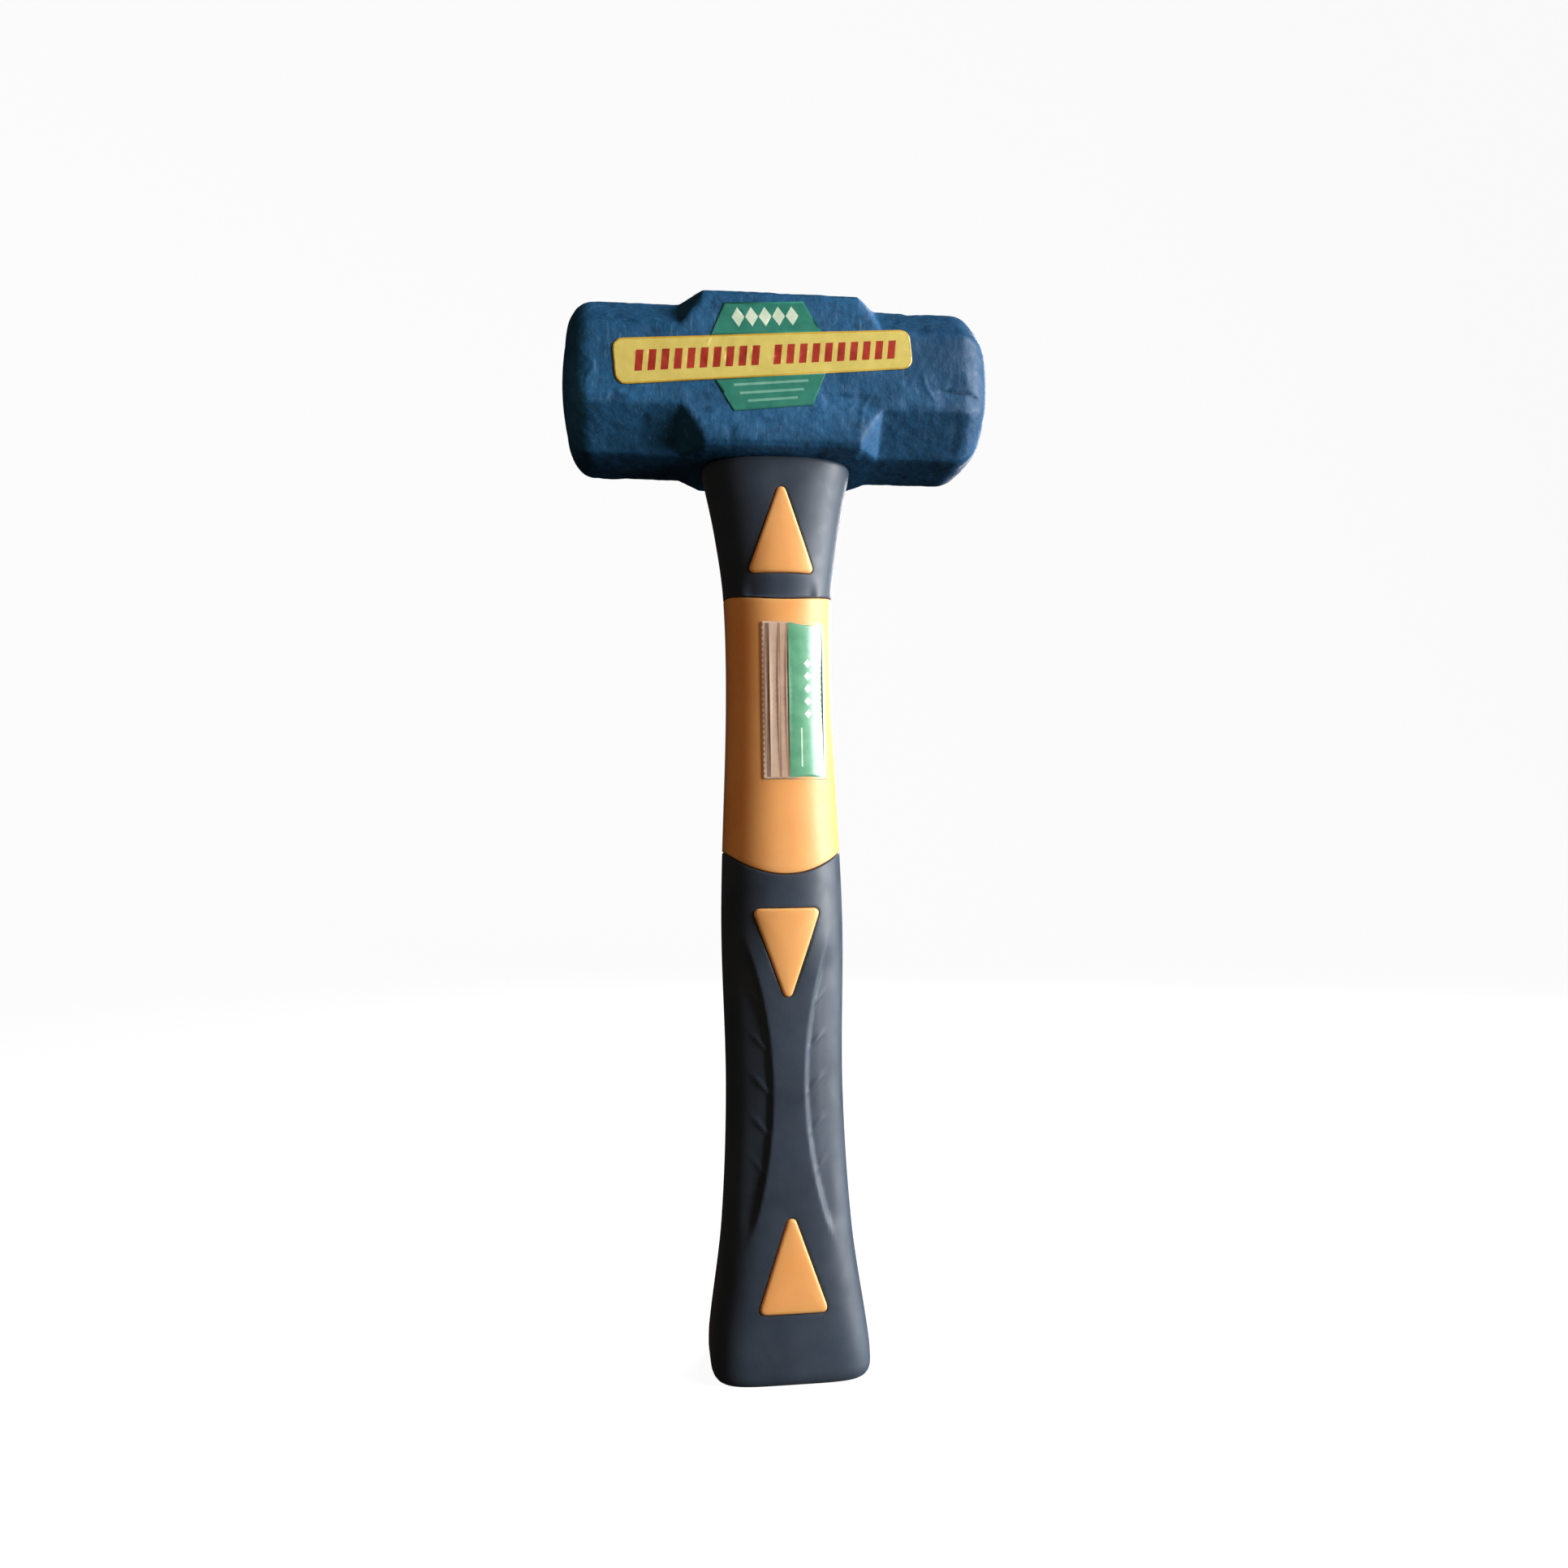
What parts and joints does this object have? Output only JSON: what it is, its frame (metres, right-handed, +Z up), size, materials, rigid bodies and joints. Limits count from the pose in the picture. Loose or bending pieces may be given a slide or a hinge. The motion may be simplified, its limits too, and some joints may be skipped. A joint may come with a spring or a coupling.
{
  "type": "sledgehammer",
  "caption": "Short-handled double-faced sledgehammer with an octagonal forged head on a fibreglass rod, a plastic jacket and rubber grip sleeves with raised triangular pads.",
  "frame": {"origin": "centre of the flat butt face, on the handle's axis", "axes": "+Z up along the handle to the head, +X along the head, -Y out of the labelled front"},
  "size_m": [0.124, 0.0448, 0.3],
  "materials": {
    "blue_painted_steel": "glossy blue paint over a rough forged surface",
    "fibreglass": "resin-bound glass fibre, sawn end",
    "resin": "poured, glossy",
    "seal_rubber": "matt",
    "orange_plastic": "moulded, satin",
    "black_rubber": "moulded soft rubber, satin",
    "head_decal": "glossy printed sticker",
    "film_decal": "glossy clear film, partly printed"
  },
  "bodies": {
    "root": {"head": "blue_painted_steel", "core_rod": "fibreglass", "eye_resin": "resin", "eye_seal": "seal_rubber", "jacket": "orange_plastic", "neck_sleeve": "black_rubber", "grip_sleeve": "black_rubber", "head_label": "head_decal", "handle_label": "film_decal"}
  },
  "joints": []
}
